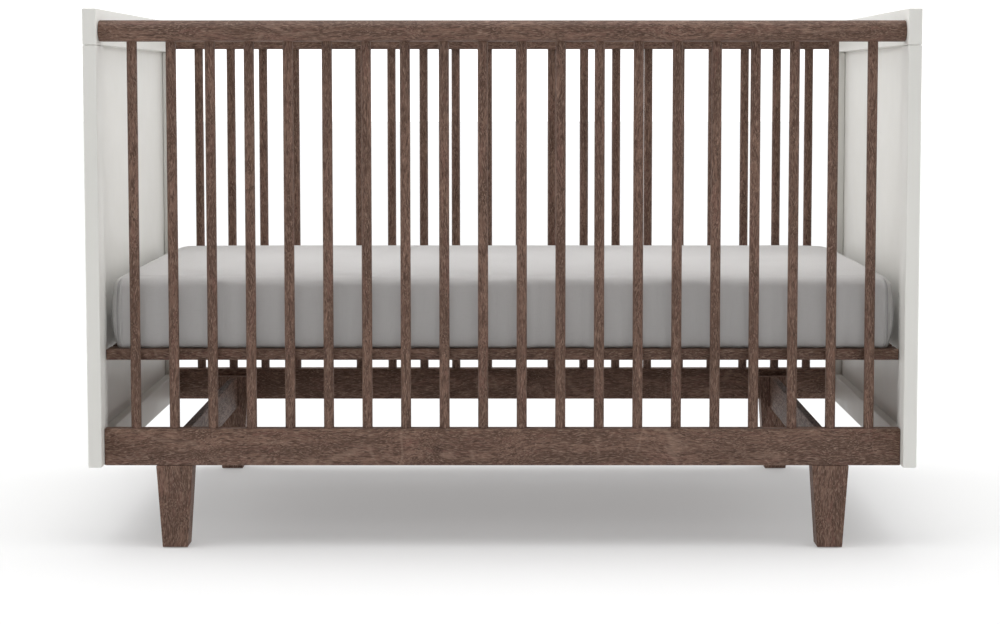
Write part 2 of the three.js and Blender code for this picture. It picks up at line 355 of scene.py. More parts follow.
def apply_modifiers(obj):
    made = bpy.data.meshes.new_from_object(obj.evaluated_get(bpy.context.evaluated_depsgraph_get()))
    old = obj.data
    obj.modifiers.clear()
    obj.data = made
    bpy.data.meshes.remove(old)


def ease(obj, width, angle=30, share=None):
    """Rounds edges sharper than the angle. share gives an edge's part of the width from its middle."""
    obj.data.shade_smooth()
    bevel = obj.modifiers.new("ease", "BEVEL")
    bevel.width = width
    bevel.segments = 3
    bevel.harden_normals = True
    bevel.angle_limit = math.radians(angle)
    if share:
        bevel.limit_method = "WEIGHT"
        weights = obj.data.attributes.new("bevel_weight_edge", "FLOAT", "EDGE")
        for edge in obj.data.edges:
            a, b = (obj.data.vertices[i].co for i in edge.vertices)
            weights.data[edge.index].value = share((a + b) / 2)
    apply_modifiers(obj)
    return obj


def smooth(obj, angle=35):
    obj.data.shade_smooth()
    obj.data.set_sharp_from_angle(angle=math.radians(angle))
    return obj


def tidy(shape):
    bmesh.ops.recalc_face_normals(shape, faces=shape.faces)
    return shape


def prism(outline, axis, low, high):
    """An outline run from low to high along an axis. Its points give the other two axes in order."""
    shape = bmesh.new()
    others = [i for i in range(3) if i != axis]
    rings = []
    for level in (low, high):
        ring = []
        for point in outline:
            place = [level, level, level]
            place[others[0]], place[others[1]] = point
            ring.append(shape.verts.new(place))
        rings.append(ring)
    shape.faces.new(rings[0])
    shape.faces.new(rings[1])
    for i in range(len(outline)):
        j = (i + 1) % len(outline)
        shape.faces.new([rings[0][j], rings[0][i], rings[1][i], rings[1][j]])
    return tidy(shape)


def board(low, high):
    outline = [(low[1], low[2]), (high[1], low[2]), (high[1], high[2]), (low[1], high[2])]
    return prism(outline, 0, low[0], high[0])


def turned(profile, centre, axis=2, steps=32, sides=None):
    """A shape turned on an axis. profile is (radius, height), and rings named in sides are hexagons."""
    shape = bmesh.new()
    first, second = [i for i in range(3) if i != axis]
    rings = []
    for index, (radius, height) in enumerate(profile):
        ring = []
        for i in range(steps if radius else 1):
            turn = 2 * math.pi * i / steps
            reach = radius
            if sides and index in sides:
                reach = radius * math.cos(math.pi / 6) / math.cos(turn % (math.pi / 3) - math.pi / 6)
            place = list(centre)
            place[first] += reach * math.cos(turn)
            place[second] += reach * math.sin(turn)
            place[axis] += height
            ring.append(shape.verts.new(place))
        rings.append(ring)
    for a, b in zip(rings, rings[1:]):
        for i in range(steps):
            j = (i + 1) % steps
            corners = [a[i % len(a)], a[j % len(a)], b[j % len(b)], b[i % len(b)]]
            shape.faces.new(list(dict.fromkeys(corners)))
    return tidy(shape)


def joined(parts):
    whole = bmesh.new()
    for part in parts:
        mesh = bpy.data.meshes.new("part")
        part.to_mesh(mesh)
        part.free()
        whole.from_mesh(mesh)
        bpy.data.meshes.remove(mesh)
    return whole


def cut(obj, cutters):
    """Takes the cutters' solids out of an object."""
    mesh = bpy.data.meshes.new("cutter")
    whole = joined(cutters)
    whole.to_mesh(mesh)
    whole.free()
    cutter = bpy.data.objects.new("cutter", mesh)
    bpy.context.scene.collection.objects.link(cutter)
    modifier = obj.modifiers.new("cut", "BOOLEAN")
    modifier.operation = "DIFFERENCE"
    modifier.solver = "EXACT"
    modifier.object = cutter
    apply_modifiers(obj)
    bpy.data.objects.remove(cutter)
    bpy.data.meshes.remove(mesh)
    return obj


def nearer(a, b):
    return min(a, b, key=abs)


def further(a, b):
    return max(a, b, key=abs)


# ---------------------------------------------------------------- ends

END_EASE = 2.2 * MM
SEAM_SHARE = 0.2
STILE_WIDTH = 60 * MM
REBATE = 8 * MM
CAP_RADIUS = 8 * MM
CAP_PROUD = 1.2 * MM


def build_end(hand):
    """Two stiles and a bottom rail, a cap rail above a V groove, and a thin panel let in from outside."""
    low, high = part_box(f"{hand}_end_frame")
    cap_low, cap_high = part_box(f"{hand}_end_cap_rail")
    panel_low, panel_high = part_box(f"{hand}_end_panel")
    inner, outer = nearer(low.x, high.x), further(low.x, high.x)
    rebate = nearer(panel_low.x, panel_high.x) - HANDS[hand] * HAIRLINE
    stile_inside = high.y - STILE_WIDTH
    rail_top = panel_low.z + REBATE
    for side, way in SIDES.items():
        edge, inside = way * high.y, way * stile_inside
        lip = inside + way * (REBATE + HAIRLINE)
        outline = [(inner, edge), (outer, edge), (outer, lip)]
        outline += [(rebate, lip), (rebate, inside), (inner, inside)]
        replaced = [f"{hand}_end_frame"] if side == "front" else []
        stile = painted(f"{hand}_{side}_stile", prism(outline, 2, low.z, high.z), replaced)

        def at_seam(place, inside=inside):
            return SEAM_SHARE if abs(place.y) < abs(inside) + REBATE * 1.1 and place.z < rail_top else 1.0

        ease(stile, END_EASE, share=at_seam)
    reach = stile_inside - HAIRLINE
    lip = panel_low.z - HAIRLINE
    outline = [(inner, low.z), (outer, low.z), (outer, lip)]
    outline += [(rebate, lip), (rebate, rail_top), (inner, rail_top)]
    rail = painted(f"{hand}_end_bottom_rail", prism(outline, 1, -reach, reach))
    ease(rail, END_EASE, share=lambda place: SEAM_SHARE if abs(place.y) > reach * 0.99 else 1.0)
    lip = cap_low.z + REBATE + HAIRLINE
    blank = board(cap_low, cap_high)
    cap = painted(f"{hand}_cap", blank, [f"{hand}_end_cap_rail"])
    ease(cap, END_EASE)
    groove_low = [rebate, -panel_high.y - HAIRLINE, cap_low.z - REBATE]
    groove_high = [outer + HANDS[hand] * REBATE, panel_high.y + HAIRLINE, lip]
    cut(cap, [board(groove_low, groove_high)])
    panel = painted(f"{hand}_panel", board(panel_low, panel_high), [f"{hand}_end_panel"])
    ease(panel, 0.6 * MM)


def build_bolt_caps(hand):
    """Caps over the bolts that hold the sides to an end, two at the bottom rail and one at the top rail."""
    outer = further(*[corner.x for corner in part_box(f"{hand}_end_frame")])
    away = HANDS[hand]
    profile = [(0, 0), (CAP_RADIUS, 0), (CAP_RADIUS, 0.5 * CAP_PROUD)]
    profile += [(CAP_RADIUS - 0.6 * MM, CAP_PROUD), (0, CAP_PROUD * 1.15)]
    profile = [(radius, away * height) for radius, height in profile]
    for side in SIDES:
        rail_low, rail_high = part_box(f"{side}_bottom_rail")
        top_low, top_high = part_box(f"{side}_top_rail")
        line = (rail_low.y + rail_high.y) / 2
        quarter = (rail_high.z - rail_low.z) / 4
        heights = [rail_low.z + quarter, rail_high.z - quarter, (top_low.z + top_high.z) / 2]
        for i, z in enumerate(heights):
            shape = turned(profile, (outer, line, z), axis=0)
            smooth(piece(f"{hand}_{side}_bolt_cap_{i + 1}", shape, FRAME, WHITE_NYLON))


for hand in HANDS:
    build_end(hand)
    build_bolt_caps(hand)


# ---------------------------------------------------------------- sides

SPINDLES = 20
SOCKET_DEPTH = 12 * MM
PAST = 5 * MM
RAIL_CORNER = 3 * MM
FOOT_HALF = 21 * MM
GLIDE = 1.5 * MM


def arc(centre, radius, start, end, steps):
    """Points on an arc, with its angles in degrees."""
    turns = [math.radians(start + (end - start) * i / steps) for i in range(steps + 1)]
    return [(centre[0] + radius[0] * math.cos(t), centre[1] + radius[1] * math.sin(t)) for t in turns]


def sockets(side, low, high):
    """Cutters for the blind holes that take one side's spindles."""
    cutters = []
    for number in range(1, SPINDLES + 1):
        a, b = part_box(f"{side}_spindle_{number:02d}")
        centre = ((a.x + b.x) / 2, (a.y + b.y) / 2, 0.0)
        radius = (b.x - a.x) / 2 + HAIRLINE
        cutters.append(turned([(0, low), (radius, low), (radius, high), (0, high)], centre))
    return cutters


def build_top_rail(side):
    low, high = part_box(f"{side}_top_rail")
    way = SIDES[side]
    inner, outer = nearer(low.y, high.y), further(low.y, high.y)
    nose = (high.z - low.z) / 2
    corner = (way * RAIL_CORNER, RAIL_CORNER)
    outline = arc((outer - way * nose, low.z + nose), (way * nose, nose), -90, 90, 24)
    outline += arc((inner + corner[0], high.z - RAIL_CORNER), corner, 90, 180, 6)
    outline += arc((inner + corner[0], low.z + RAIL_CORNER), corner, 180, 270, 6)
    rail = timber(f"{side}_rail_top", prism(outline, 0, low.x, high.x), FRAME, 0, [f"{side}_top_rail"])
    ease(rail, 1.5 * MM, angle=50)
    smooth(cut(rail, sockets(side, low.z - PAST, low.z + SOCKET_DEPTH)))


def build_bottom_rail(side):
    low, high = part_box(f"{side}_bottom_rail")
    rail = timber(f"{side}_rail_bottom", board(low, high), FRAME, 0, [f"{side}_bottom_rail"])
    ease(rail, 2.0 * MM)
    smooth(cut(rail, sockets(side, high.z - SOCKET_DEPTH, high.z + PAST)))


def build_spindle(side, number):
    node = f"{side}_spindle_{number:02d}"
    low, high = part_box(node)
    radius = (high.x - low.x) / 2
    chamfer = 0.8 * MM
    profile = [(0, low.z), (radius - chamfer, low.z), (radius, low.z + chamfer)]
    profile += [(radius, high.z - chamfer), (radius - chamfer, high.z), (0, high.z)]
    shape = turned(profile, ((low.x + high.x) / 2, (low.y + high.y) / 2, 0.0))
    smooth(timber(f"{side}_dowel_{number:02d}", shape, FRAME, 2, [node]))


def build_leg(side, hand):
    """A leg tapered towards the floor, lapped behind the bottom rail, on a glide."""
    node = f"{side}_{hand}_leg"
    low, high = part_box(node)
    rail_low, rail_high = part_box(f"{side}_bottom_rail")
    middle, top_half = (low.x + high.x) / 2, (high.x - low.x) / 2
    inner, outer = nearer(low.y, high.y), further(low.y, high.y)
    lap = nearer(rail_low.y, rail_high.y) - SIDES[side] * HAIRLINE
    shoulder = rail_low.z - HAIRLINE
    outline = [(outer, GLIDE), (inner, GLIDE), (inner, high.z)]
    outline += [(lap, high.z), (lap, shoulder), (outer, shoulder)]
    shape = prism(outline, 0, -1, 1)
    for vert in shape.verts:
        half = FOOT_HALF + (top_half - FOOT_HALF) * vert.co.z / high.z
        vert.co.x = middle + half * vert.co.x
    ease(timber(f"{side}_{hand}_tapered_leg", shape, FRAME, 2, [node]), 1.6 * MM)
    radius, rim = 12 * MM, 0.6 * MM
    profile = [(0, 0), (radius - rim, 0), (radius, rim), (radius, 2 * GLIDE), (0, 2 * GLIDE)]
    glide = turned(profile, (middle, (inner + outer) / 2, 0.0))
    smooth(piece(f"{side}_{hand}_glide", glide, FRAME, GREY_NYLON))


for side in SIDES:
    build_top_rail(side)
    build_bottom_rail(side)
    for number in range(1, SPINDLES + 1):
        build_spindle(side, number)
    for hand in HANDS:
        build_leg(side, hand)

for hand in HANDS:
    stretcher = board(*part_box(f"{hand}_stretcher"))
    ease(timber(f"{hand}_leg_stretcher", stretcher, FRAME, 1, [f"{hand}_stretcher"]), 1.6 * MM)


# ---------------------------------------------------------------- mattress support

MEMBER = 60 * MM
DECK_LIP = 15 * MM
SLATS = 13
SLAT_WIDTH = 58 * MM
BATTENS = [-170 * MM, 0.0, 170 * MM]
BATTEN_HALF = 16 * MM
BOLT_LINE = 349 * MM
POCKET_LENGTH = 26 * MM
POCKET_WIDTH = 14 * MM
POCKET_DEPTH = 15 * MM
POCKET_WALL = 12 * MM
HEAD_RADIUS = 5 * MM
HEAD_DEPTH = 6 * MM
BOLT_SHANK = 3 * MM
PLUG_RADIUS = 4.5 * MM


def support_member(name, edge, reach, across, replaces=()):
    """One member of the support's frame. edge is its outer face's place on the axis across."""
    low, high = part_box("mattress_support_frame")
    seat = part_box("mattress_slat_deck")[1].z - (high.z - low.z) / 2 - HAIRLINE
    inside = edge - math.copysign(MEMBER, edge)
    lip = inside + math.copysign(DECK_LIP, edge)
    outline = [(edge, low.z), (edge, high.z), (lip, high.z), (lip, seat), (inside, seat), (inside, low.z)]
    shape = prism(outline, 1 - across, -reach, reach)
    return ease(timber(name, shape, SUPPORT, 1 - across, replaces), 1.2 * MM)


def build_support_frame():
    low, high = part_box("mattress_support_frame")
    middle = (low.z + high.z) / 2
    for side, way in SIDES.items():
        replaced = ["mattress_support_frame"] if side == "front" else []
        member = support_member(f"support_{side}_rail", way * high.y, high.x, 1, replaced)
        cutters = []
        for hand, end in HANDS.items():
            wall = high.x - POCKET_WALL
            line = way * BOLT_LINE
            corner = [end * (wall - POCKET_LENGTH), line - POCKET_WIDTH / 2, low.z - PAST]
            opposite = [end * wall, line + POCKET_WIDTH / 2, low.z + POCKET_DEPTH]
            cutters.append(board(corner, opposite))
            radius, reach = BOLT_SHANK + HAIRLINE, PAST + POCKET_WALL
            bore = [(0, 0), (radius, 0), (radius, reach), (0, reach)]
            bore = [(r, end * (height - 1 * MM)) for r, height in bore]
            cutters.append(turned(bore, (end * wall, line, middle), axis=0))
            build_bolt(f"{hand}_{side}_support_bolt", end, (end * wall, line, middle))
        smooth(cut(member, cutters), 40)
    for hand, end in HANDS.items():
        support_member(f"support_{hand}_end", end * high.x, high.y - MEMBER - HAIRLINE, 0)


def build_bolt(name, end, seat):
    """A socket-head bolt whose head bears on the pocket's wall at seat, pointing to the crib's end."""
    radius, depth = HEAD_RADIUS, HEAD_DEPTH
    rim, socket = 0.5 * MM, 2.5 * MM
    profile = [(0, -depth / 2), (socket, -depth / 2), (socket, -depth), (radius - rim, -depth)]
    profile += [(radius, rim - depth), (radius, 0), (BOLT_SHANK, 0), (BOLT_SHANK, POCKET_WALL - rim)]
    profile += [(0, POCKET_WALL - rim)]
    profile = [(r, end * (height - HAIRLINE)) for r, height in profile]
    smooth(piece(name, turned(profile, seat, axis=0, steps=36, sides=(1, 2)), SUPPORT, STEEL))


def build_plugs():
    """Plugs in the stiles' inserts for the support's other two heights."""
    low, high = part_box("mattress_support_frame")
    joint = next(j for j in frame["joints"] if j["name"] == "mattress_height")
    for hand, end in HANDS.items():
        face = nearer(*[corner.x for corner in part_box(f"{hand}_end_frame")])
        for side, way in SIDES.items():
            for name, travel in zip(("low", "high"), joint["range_m"]):
                place = (face, way * BOLT_LINE, (low.z + high.z) / 2 + travel)
                profile = [(0, 0), (PLUG_RADIUS, 0), (PLUG_RADIUS - 0.3 * MM, 0.4 * MM), (0, 0.5 * MM)]
                profile = [(radius, -end * height) for radius, height in profile]
                plug = turned(profile, place, axis=0)
                smooth(piece(f"{hand}_{side}_plug_{name}", plug, FRAME, WHITE_NYLON))


def screw(place):
    """A countersunk screw's head, a hair above the surface, with its hexagonal socket."""
    profile = [(0, -2.0), (1.5, -2.0), (3.2, 0.05), (3.0, 0.15), (1.3, 0.15), (1.1, -1.0), (0, -1.0)]
    return turned([(r * MM, z * MM) for r, z in profile], place, steps=18, sides=(4, 5))


def build_deck():
    low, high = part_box("mattress_slat_deck")
    middle = (low.z + high.z) / 2
    pitch = (high.x - low.x - SLAT_WIDTH) / (SLATS - 1)
    screws = []
    for i in range(SLATS):
        start = low.x + i * pitch
        shape = board([start, low.y, middle], [start + SLAT_WIDTH, high.y, high.z])
        replaced = ["mattress_slat_deck"] if i == 0 else []
        ease(timber(f"slat_{i + 1:02d}", shape, SUPPORT, 1, replaced), 1.5 * MM)
        lines = [*BATTENS, low.y + DECK_LIP / 2, high.y - DECK_LIP / 2]
        screws += [screw((start + SLAT_WIDTH / 2, y, high.z)) for y in lines]
    smooth(piece("slat_screws", joined(screws), SUPPORT, STEEL), 40)
    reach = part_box("mattress_support_frame")[1].x - MEMBER - 2 * HAIRLINE
    for i, y in enumerate(BATTENS):
        shape = board([-reach, y - BATTEN_HALF, low.z], [reach, y + BATTEN_HALF, middle - HAIRLINE])
        ease(timber(f"batten_{i + 1}", shape, SUPPORT, 0), 1.5 * MM)


build_support_frame()
build_plugs()
build_deck()


# ---------------------------------------------------------------- mattress and fitted sheet

COARSE_REACH = 90 * MM
TOP_ROWS, SHOULDER_ROWS, SIDE_ROWS, UNDER_ROWS, HEM_ROWS = 2, 7, 12, 6, 6
BED_CORNER = 24 * MM
TOP_EASE = 17 * MM
LOW_EASE = 6 * MM
WIDEST = 0.45
END_PULL = (5 * MM, 9 * MM)
SIDE_PULL = (1.5 * MM, 3 * MM)
HEM_CORNER = 8 * MM
TURN_UNDER = 70 * MM
DROOP = 2.5 * MM
DROOP_REACH = 60 * MM
NIP = 10 * MM
NIP_REACH = 18 * MM
CORE_INSET = 8 * MM
FOLD = 2.0 * MM
FOLD_SEED = 7
FOLD_WAVES = 12
FOLD_LENGTHS = (22 * MM, 70 * MM)
# The sum of the waves at the crest of a deep fold.
FOLD_CREST = 3.0
SHEET_SKIN = 0.8 * MM
SEAM_PLACE = 7.4 * MM
# The width of the painted shadow line down the bottom of each seam's groove.
SEAM_SHADOW_WIDTH = 1.1 * MM
SEAM_ENDS = (1 * MM, 8 * MM)
CORNER_REACH = 25 * MM
FINE_REACH = 6 * MM
FINE_CUTS = 2
LEVEL_SLOPE = 0.35
SLIVER = 0.02 * MM
# The seam's groove, the fold beside it and the row of stitches, each as (height, place, width).
SEAM_WAVES = [(-5.6 * MM, 0.0, 1.9 * MM), (3.0 * MM, -4.0 * MM, 1.9 * MM), (-2.0 * MM, 8.0 * MM, 1.1 * MM)]
# The end's cloth is double between these two places beside the seam, and steps up and down this softly.
SEAM_LIP = (2.2 * MM, 15 * MM)
LIP_SOFTNESS = (0.5 * MM, 2.5 * MM)
LIP_HEIGHT = 1.2 * MM
HOLD_MARGIN = 30 * MM
COTTON_CLOTH = {
    "quality": 5,
    "mass": 0.15,
    "tension_stiffness": 25,
    "compression_stiffness": 10,
    "shear_stiffness": 5,
    "bending_stiffness": 3,
}
FOAM_PRESSURE = 1.2
SETTLING_FRAMES = 18
MOST_MOVE = 3.0 * MM
MOST_PROUD = (2.5 * MM, 5.0 * MM)


def spread(half, fine, coarse, reach):
    """Places from -half to half. Their spacing is fine at both ends and grows to coarse over reach."""
    places = [0.0]
    while places[-1] < half:
        places.append(places[-1] + fine + (coarse - fine) * min(1.0, places[-1] / reach))
    inward = [half - p * half / places[-1] for p in places]
    return [-p for p in inward[:-1]] + inward[::-1]


class BedShell:
    """The bed's outer surface as columns of points from the top, down the side, to the hem underneath."""

    def __init__(self, inset, fine, coarse):
        low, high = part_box("fitted_sheet")
        self.low, self.high = low.z + inset, high.z - inset
        self.half = (high.x - inset, high.y - inset)
        self.corner = BED_CORNER - inset
        self.flat = [h - self.corner for h in self.half]
        self.lines = [spread(f, fine, coarse, COARSE_REACH) for f in self.flat]
        self.fan = max(6, round(self.corner * math.pi / 2 / fine))
        self.columns = self.make_columns()
        self.rows = self.make_rows()

    def make_columns(self):
        """(share of x, share of y, direction) round the bed, each share from -1 to 1 of the flat's half."""
        along, deep = ([p / f for p in line] for line, f in zip(self.lines, self.flat))
        runs = [(along, lambda s: (s, -1), -90), (deep, lambda s: (1, s), 0)]
        runs += [(along, lambda s: (-s, 1), 90), (deep, lambda s: (-1, -s), 180)]
        columns = []
        for places, spot, turn in runs:
            columns += [(*spot(s), math.radians(turn)) for s in places[:-1]]
            fan = [math.radians(turn + 90 * i / self.fan) for i in range(self.fan)]
            columns += [(*spot(1), t) for t in fan]
        return columns

    def make_rows(self):
        """(part of the shell, share of the way through it) for each row, from the top to the hem."""
        rows = [("top", i / TOP_ROWS) for i in range(TOP_ROWS)]
        rows += [("shoulder", i / SHOULDER_ROWS) for i in range(SHOULDER_ROWS + 1)]
        rows += [("side", i / SIDE_ROWS) for i in range(1, SIDE_ROWS)]
        rows += [("under", i / UNDER_ROWS) for i in range(UNDER_ROWS + 1)]
        return rows + [("hem", i / HEM_ROWS) for i in range(1, HEM_ROWS + 1)]

    def profile(self, row, end):
        """A row's inset from the widest outline, and its height. end is 1 on the ends, 0 on the sides."""
        kind, share = row
        top_pull, low_pull = (a + (b - a) * end for a, b in zip(SIDE_PULL, END_PULL))
        if kind == "top":
            return self.corner + (top_pull + TOP_EASE - self.corner) * share, self.high
        if kind == "shoulder":
            turn = math.pi / 2 * share
            inset = top_pull + TOP_EASE * (1 - math.sin(turn))
            return inset, self.high - TOP_EASE * (1 - math.cos(turn))
        if kind == "side":
            if share < WIDEST:
                pull = top_pull * ((WIDEST - share) / WIDEST) ** 2
            else:
                pull = low_pull * ((share - WIDEST) / (1 - WIDEST)) ** 2
            top, bottom = self.high - TOP_EASE, self.low + LOW_EASE
            return pull, top + (bottom - top) * share
        turn = math.pi / 2 * (share if kind == "under" else 1.0)
        inset = low_pull + LOW_EASE * (1 - math.cos(turn))
        if kind == "hem":
            inset += (TURN_UNDER - inset) * share
        return inset, self.low + LOW_EASE * (1 - math.sin(turn))

    def point(self, column, row, swing=0.0):
        share_x, share_y, turn = column
        inset, z = self.profile(row, abs(math.cos(turn)))
        radius = self.corner - inset
        if row[0] in ("under", "hem"):
            radius = max(radius, HEM_CORNER)
        centre = [h - inset - radius for h in self.half]
        reach = radius + swing
        x = share_x * centre[0] + reach * math.cos(turn)
        y = share_y * centre[1] + reach * math.sin(turn)
        return Vector((x, y, z - self.droop(x, y, row)))

    def droop(self, x, y, row):
        """How much lower the top is near its corners than in the middle."""
        if row[0] in ("under", "hem"):
            return 0.0
        away = math.hypot(self.half[0] - abs(x), self.half[1] - abs(y))
        depth = row[1] if row[0] == "side" else 0.0
        low = DROOP * math.exp(-away / DROOP_REACH) + NIP * math.exp(-((away / NIP_REACH) ** 2))
        return low * (1 - depth)

    def build(self, swing):
        """The shell as a bmesh. swing(number of the column, row) pushes a point out."""
        shape = bmesh.new()
        grid = []
        for i, column in enumerate(self.columns):
            places = [self.point(column, row, swing(i, row)) for row in self.rows]
            grid.append([shape.verts.new(place) for place in places])
        for i, column in enumerate(grid):
            beside = grid[(i + 1) % len(grid)]
            for k in range(len(self.rows) - 1):
                shape.faces.new([column[k], beside[k], beside[k + 1], column[k + 1]])
        lattice = {}
        xs, ys = self.lines
        for i, x in enumerate(xs):
            for j, y in enumerate(ys):
                z = self.high - self.droop(x, y, ("top", 0.0))
                lattice[i, j] = shape.verts.new((x, y, z))
        for i in range(len(xs) - 1):
            for j in range(len(ys) - 1):
                corners = [(i, j), (i + 1, j), (i + 1, j + 1), (i, j + 1)]
                shape.faces.new([lattice[corner] for corner in corners])
        rim = [column[0] for column in grid] + [v for v in shape.verts if len(v.link_faces) < 4]
        bmesh.ops.remove_doubles(shape, verts=list(set(rim)), dist=0.01 * MM)
        bmesh.ops.dissolve_degenerate(shape, dist=0.001 * MM, edges=shape.edges)
        return tidy(shape)


def fold_pattern(shell):
    """Soft vertical folds round the bed, as a function that gives the push out at a column and row."""
    rng = random.Random(FOLD_SEED)
    ranges = (FOLD_LENGTHS, (0, 2 * math.pi), (0.5, 1.0))
    waves = [[rng.uniform(*ends) for ends in ranges] for _ in range(FOLD_WAVES)]
    places = [shell.point(c, ("side", 0.5)) for c in shell.columns]
    along = [0.0]
    for a, b in zip(places, places[1:] + places[:1]):
        along.append(along[-1] + (a - b).length)
    whole = along.pop()
    sums = []
    for place in along:
        total = 0.0
        for length, phase, weight in waves:
            turns = round(whole / length)
            total += weight * math.sin(2 * math.pi * turns * place / whole + phase)
        sums.append(total / FOLD_CREST)
    depth = {"top": 0.0, "under": 1.0, "hem": 0.0}

    def swing(i, row):
        kind, share = row
        strength = depth.get(kind, 1.0)
        if kind == "shoulder":
            strength = share * share
        return FOLD * sums[i] * strength

    return swing


def relax(obj, shell):
    """Lets the cloth settle by simulation, held on top and underneath, with the foam pressing it out."""
    start = [v.co.copy() for v in obj.data.vertices]
    hold = obj.vertex_groups.new(name="hold")
    for v in obj.data.vertices:
        inside = min(shell.half[0] - abs(v.co.x), shell.half[1] - abs(v.co.y))
        on_top = inside > HOLD_MARGIN and v.co.z > (shell.low + shell.high) / 2
        underneath = v.co.z < shell.low + 0.5 * MM
        if on_top or underneath:
            hold.add([v.index], 1.0, "REPLACE")
    cloth = obj.modifiers.new("cloth", "CLOTH")
    settings = cloth.settings
    for name, value in COTTON_CLOTH.items():
        setattr(settings, name, value)
    settings.use_pressure = True
    settings.uniform_pressure_force = FOAM_PRESSURE
    settings.vertex_group_mass = hold.name
    settings.effector_weights.gravity = 0
    cloth.collision_settings.use_collision = False
    cloth.point_cache.frame_end = SETTLING_FRAMES
    for number in range(1, SETTLING_FRAMES + 1):
        bpy.context.scene.frame_set(number)
    apply_modifiers(obj)
    bpy.context.scene.frame_set(1)
    for v, before in zip(obj.data.vertices, start):
        move = v.co - before
        if move.length > 0:
            v.co = before + move * (MOST_MOVE * math.tanh(move.length / MOST_MOVE) / move.length)
    obj.vertex_groups.clear()


def seam_height(u):
    """How far the cloth stands out at a distance u from a corner seam. u is positive on the end's side."""
    height = sum(high * math.exp(-(((u - place) / width) ** 2)) for high, place, width in SEAM_WAVES)
    rise = 1.0 / (1.0 + math.exp((SEAM_LIP[0] - u) / LIP_SOFTNESS[0]))
    fall = 1.0 / (1.0 + math.exp((u - SEAM_LIP[1]) / LIP_SOFTNESS[1]))
    return height + LIP_HEIGHT * rise * fall


def refine_corners(obj, shell):
    """Splits the columns of faces round each corner into thinner ones, for the fine shape of the seam."""
    shape = bmesh.new()
    shape.from_mesh(obj.data)

    def near(v):
        beyond = (abs(v.co.x) - shell.flat[0], abs(v.co.y) - shell.flat[1])
        return min(beyond) > -FINE_REACH and v.co.z > shell.low + 1 * MM

    edges = [e for e in shape.edges if all(near(v) for v in e.verts)]
    level = [e for e in edges if abs(e.verts[0].co.z - e.verts[1].co.z) < LEVEL_SLOPE * e.calc_length()]
    bmesh.ops.subdivide_edges(shape, edges=level, cuts=FINE_CUTS, use_grid_fill=False)
    bmesh.ops.triangulate(shape, faces=[f for f in shape.faces if len(f.verts) > 4])
    bmesh.ops.dissolve_degenerate(shape, dist=SLIVER, edges=shape.edges)
    shape.to_mesh(obj.data)
    shape.free()


def seam_offset(shell, place):
    """A place's distance from its corner's seam, the way out there, and the seam's strength there."""
    x, y = abs(place.x) - shell.flat[0], abs(place.y) - shell.flat[1]
    begin, run = SEAM_ENDS
    fade = min(1.0, max(0.0, (shell.high - place.z - begin) / run))
    fade *= min(1.0, max(0.0, (place.z - shell.low - begin) / (run - begin)))
    if min(x, y) < -CORNER_REACH or max(x, y) < 0:
        return 0.0, Vector(), 0.0
    if x > 0 and y > 0:
        return shell.corner * math.atan2(x, y) - SEAM_PLACE, Vector((x, y, 0)).normalized(), fade
    if y > 0:
        return x - SEAM_PLACE, Vector((0, 1, 0)), fade
    return shell.corner * math.pi / 2 - y - SEAM_PLACE, Vector((1, 0, 0)), fade


def sew_corners(obj, shell):
    """Raises the seam down each corner, where the end's cloth meets the long side's."""
    for v in obj.data.vertices:
        u, out, fade = seam_offset(shell, v.co)
        push = out * seam_height(u) * fade
        v.co += Vector((math.copysign(push.x, v.co.x), math.copysign(push.y, v.co.y), 0))


def paint_seam_shadows(obj, shell):
    """Stores how near each point is to the bottom of a seam's groove, where the cloth gets a painted shadow
    line.
    """
    marks = obj.data.attributes.new("seam", "FLOAT", "POINT")
    for v in obj.data.vertices:
        u, _, fade = seam_offset(shell, v.co)
        marks.data[v.index].value = fade * math.exp(-((u / SEAM_SHADOW_WIDTH) ** 2))


def keep_inside(obj, shell):
    """Flattens what stands far out of the bed's outline, so that the sheet passes the ends and rails."""
    for v in obj.data.vertices:
        for axis, proud in enumerate(MOST_PROUD):
            out = abs(v.co[axis]) - shell.half[axis]
            if out > 0:
                v.co[axis] = math.copysign(shell.half[axis] + proud * math.tanh(out / proud), v.co[axis])


def build_bed():
    core_shell = BedShell(CORE_INSET, 9 * MM, 30 * MM)
    shape = core_shell.build(lambda i, row: 0.0)
    bmesh.ops.contextual_create(shape, geom=[e for e in shape.edges if e.is_boundary])
    core = piece("crib_mattress", tidy(shape), BED, TICKING, ["mattress"])
    smooth(core, 60)
    shell = BedShell(0.0, 1.6 * MM, 9 * MM)
    shape = shell.build(fold_pattern(shell))
    sheet = piece("crib_sheet", shape, BED, COTTON, ["fitted_sheet"])
    relax(sheet, shell)
    refine_corners(sheet, shell)
    sew_corners(sheet, shell)
    keep_inside(sheet, shell)
    skin = sheet.modifiers.new("skin", "SOLIDIFY")
    skin.thickness = SHEET_SKIN
    skin.offset = -1
    apply_modifiers(sheet)
    smooth(sheet, 60)
    # The seam grooves get a painted shadow line in the sheet's colour.
    paint_seam_shadows(sheet, shell)


build_bed()


# ---------------------------------------------------------------- stage, light and camera

FRONT_SKY = 0.04
BACK_SKY = 1.35
DIM_SKY = 0.04
OVERHEAD = 3.0
LEFT_BOX = 2.75
RIGHT_BOX = 2.45
FLOOR_GLOW = 0.282
PANEL_SIZE = (1.5, 1.5)
KEY_PLACE, KEY_AIM, KEY_POWER = (3.4, -2.4, 0.9), (0, 0, 0.4), 7
FILL_PLACE, FILL_AIM, FILL_POWER = (-3.4, -2.4, 0.7), (0, 0, 0.3), 4
SENSOR = 36.0
LENS = 74.91
SHIFT = (-0.0108, -0.08)
CAMERA_PLACE = (0.014, -3.823, 0.775)
CAMERA_TILT = 4.05


def pale_floor(n, place):
    base = n.mix(n.noise(place, 0.7, 2.0), shade(192, 192, 192), shade(196, 196, 196))
    white = (1, 1, 1, 1)
    return {"Base Color": base, "Roughness": 0.9, "Emission Color": white, "Emission Strength": FLOOR_GLOW}


